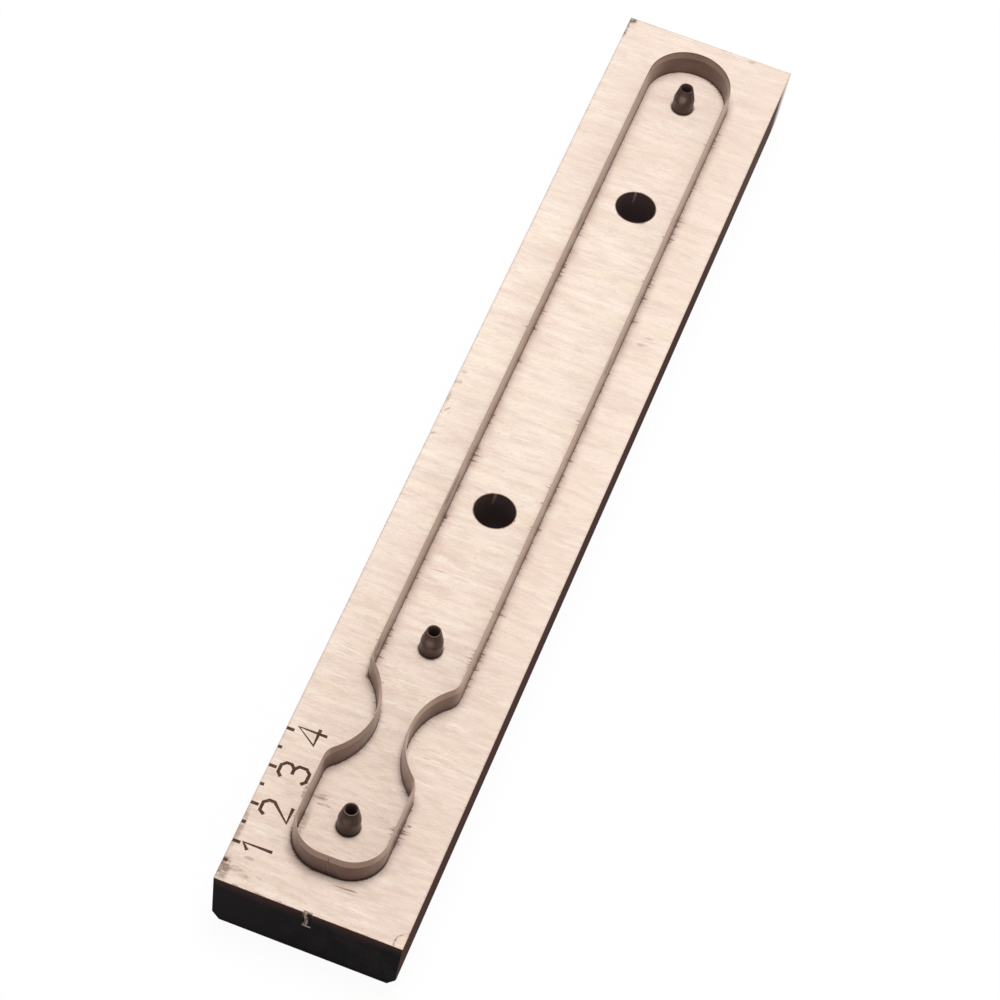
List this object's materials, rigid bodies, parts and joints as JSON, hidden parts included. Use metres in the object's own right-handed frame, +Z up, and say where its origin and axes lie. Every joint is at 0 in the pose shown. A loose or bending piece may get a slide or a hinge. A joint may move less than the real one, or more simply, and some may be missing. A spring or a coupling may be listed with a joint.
{
  "type": "steel rule die",
  "caption": "Long plywood board holding a closed, bent steel blade with a waist and small head, tubular hole punches and push-out holes, for cutting straps from sheet material.",
  "frame": {"origin": "centre of the board's underside", "axes": "+Y along the board towards the outline's round end, +Z up through the board towards the cutting edges"},
  "size_m": [0.0414, 0.266, 0.0238],
  "materials": {
    "board": "raw birch face veneer with laser-charred cut edges",
    "rule": "satin brown-grey with a ground bevel",
    "punch": "satin, dark hardened"
  },
  "bodies": {
    "root": {"die_board": "board", "cutting_rule": "rule", "punch_head": "punch", "punch_waist": "punch", "punch_far": "punch"}
  },
  "joints": []
}
